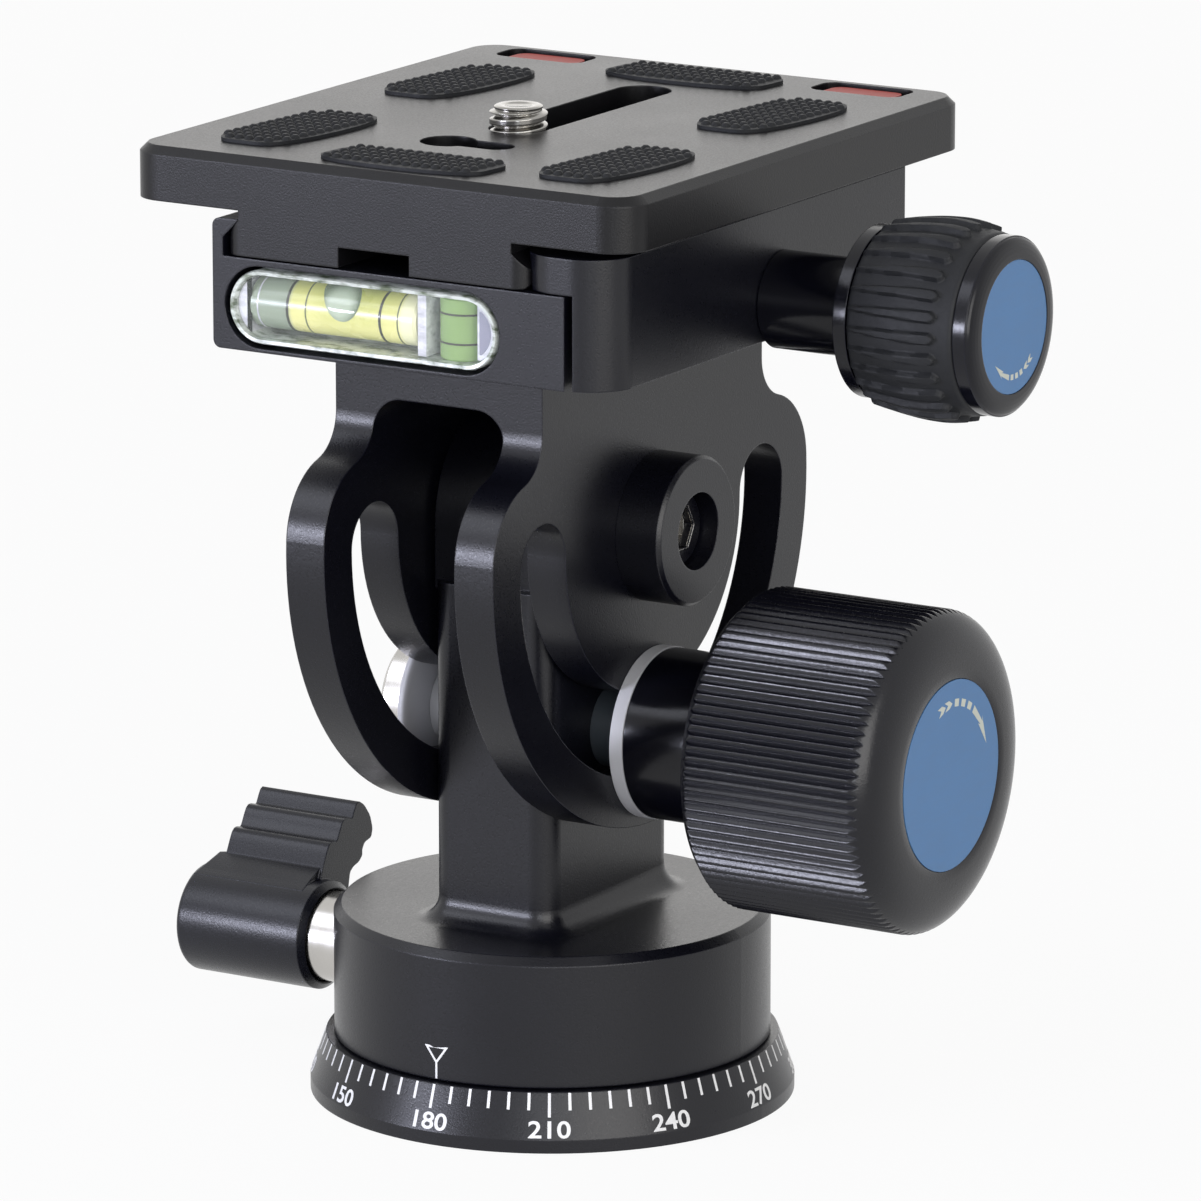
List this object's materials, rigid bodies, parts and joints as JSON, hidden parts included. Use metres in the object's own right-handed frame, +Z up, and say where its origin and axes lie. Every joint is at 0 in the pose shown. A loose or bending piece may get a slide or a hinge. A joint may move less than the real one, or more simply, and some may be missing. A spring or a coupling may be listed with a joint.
{
  "type": "panoramic tripod head",
  "caption": "Panoramic tripod head: panning base with a degree scale, slotted tilting yoke locked by a knurled knob, and a dovetail clamp with spirit level and sliding camera plate.",
  "frame": {"origin": "centre of the tripod socket's mouth, at the middle of the base's underside", "axes": "+Z up along the pan axis; +X along the tilt axis, towards both knobs; -Y towards the front, where the spirit level is"},
  "size_m": [0.1043, 0.0729, 0.112],
  "materials": {
    "anodised_black": "bead-blasted, black anodised",
    "plate_black": "bead-blasted, dark anodised",
    "lever_black": "satin black anodised",
    "steel": "turned stainless steel",
    "black_steel": "blackened, polished",
    "chrome": "bright plated",
    "bronze": "turned bearing bronze",
    "rubber_black": "matt rubber",
    "nylon_pale": "turned pale nylon",
    "nylon_dark": "turned dark nylon",
    "disc_blue": "fine satin blue",
    "bar_red": "smooth moulded",
    "clear_acrylic": "polished clear",
    "vial_liquid": "clear yellow-green"
  },
  "bodies": {
    "base": {"base_disc": "anodised_black", "tripod_bush": "steel", "pan_spindle": "steel", "spindle_screws": "steel"},
    "pan_body": {"pan_housing": "anodised_black", "thrust_washer": "nylon_pale", "retaining_ring": "steel", "pivot_bushes": "bronze", "tilt_bolt": "steel", "bolt_washer": "nylon_pale", "slot_bush_right": "nylon_dark", "slot_bush_left": "nylon_pale"},
    "brake": {"brake_shoe": "bronze"},
    "pan_lock": {"pan_lock_stem": "steel", "pan_lock_lever": "lever_black", "pan_lock_grub": "black_steel"},
    "tilt_head": {"yoke": "anodised_black", "pivot_pin": "steel", "pivot_cap_right": "anodised_black", "pivot_cap_left": "anodised_black", "pivot_screws": "steel", "clamp_base": "anodised_black", "clamp_screws": "black_steel", "guide_pins": "steel", "level_block": "clear_acrylic", "level_vial_long": "vial_liquid", "level_vial_short": "vial_liquid"},
    "washer": {"tilt_washer": "nylon_pale"},
    "tilt_lock": {"tilt_collar": "anodised_black", "tilt_insert": "steel", "tilt_knob": "anodised_black", "tilt_knob_disc": "disc_blue"},
    "jaw": {"clamp_jaw": "anodised_black"},
    "clamp_knob": {"clamp_draw_screw": "steel", "clamp_clip": "steel", "clamp_knob_core": "anodised_black", "clamp_knob_grip": "rubber_black", "clamp_knob_cap": "anodised_black", "clamp_knob_disc": "disc_blue"},
    "plate": {"camera_plate": "plate_black", "window_bars": "bar_red", "side_pads": "rubber_black", "end_pads": "rubber_black"},
    "screw_carrier": {"screw_washer": "nylon_pale"},
    "screw": {"camera_screw": "chrome"}
  },
  "joints": [
    {"name": "pan", "type": "hinge", "parent": "base", "child": "pan_body", "pos_m": [0, 0, 0], "axis": [0, 0, 1], "continuous": true},
    {"name": "brake_slide", "type": "slide", "parent": "pan_body", "child": "brake", "axis": [-1, 0, 0], "range_m": [0, 0.00023]},
    {"name": "pan_lock_turn", "type": "hinge", "parent": "brake", "child": "pan_lock", "pos_m": [0, 0, 0.0128], "axis": [-1, 0, 0], "range_deg": [0, 80]},
    {"name": "tilt", "type": "hinge", "parent": "pan_body", "child": "tilt_head", "pos_m": [0, 0, 0.0655], "axis": [1, 0, 0], "range_deg": [-90, 90]},
    {"name": "washer_slide", "type": "slide", "parent": "pan_body", "child": "washer", "axis": [1, 0, 0], "range_m": [0, 0.002]},
    {"name": "tilt_lock_turn", "type": "hinge", "parent": "washer", "child": "tilt_lock", "pos_m": [0, 0, 0.0423], "axis": [1, 0, 0], "range_deg": [0, 720]},
    {"name": "jaw_slide", "type": "slide", "parent": "tilt_head", "child": "jaw", "axis": [1, 0, 0], "range_m": [0, 0.003]},
    {"name": "clamp_knob_turn", "type": "hinge", "parent": "jaw", "child": "clamp_knob", "pos_m": [0, 0, 0.09245], "axis": [1, 0, 0], "range_deg": [0, 1080]},
    {"name": "plate_slide", "type": "slide", "parent": "tilt_head", "child": "plate", "axis": [0, 1, 0], "range_m": [-0.02, 0.02]},
    {"name": "screw_slide", "type": "slide", "parent": "plate", "child": "screw_carrier", "axis": [0, 1, 0], "range_m": [0, 0.026]},
    {"name": "camera_screw_turn", "type": "hinge", "parent": "screw_carrier", "child": "screw", "pos_m": [0, -0.0068, 0.1], "axis": [0, 0, 1], "continuous": true}
  ],
  "couplings": [
    {"joint": "brake_slide", "follows": "pan_lock_turn", "m_per_rad": 0.000159},
    {"joint": "washer_slide", "follows": "tilt_lock_turn", "m_per_rad": 0.000159},
    {"joint": "jaw_slide", "follows": "clamp_knob_turn", "m_per_rad": 0.000159}
  ]
}
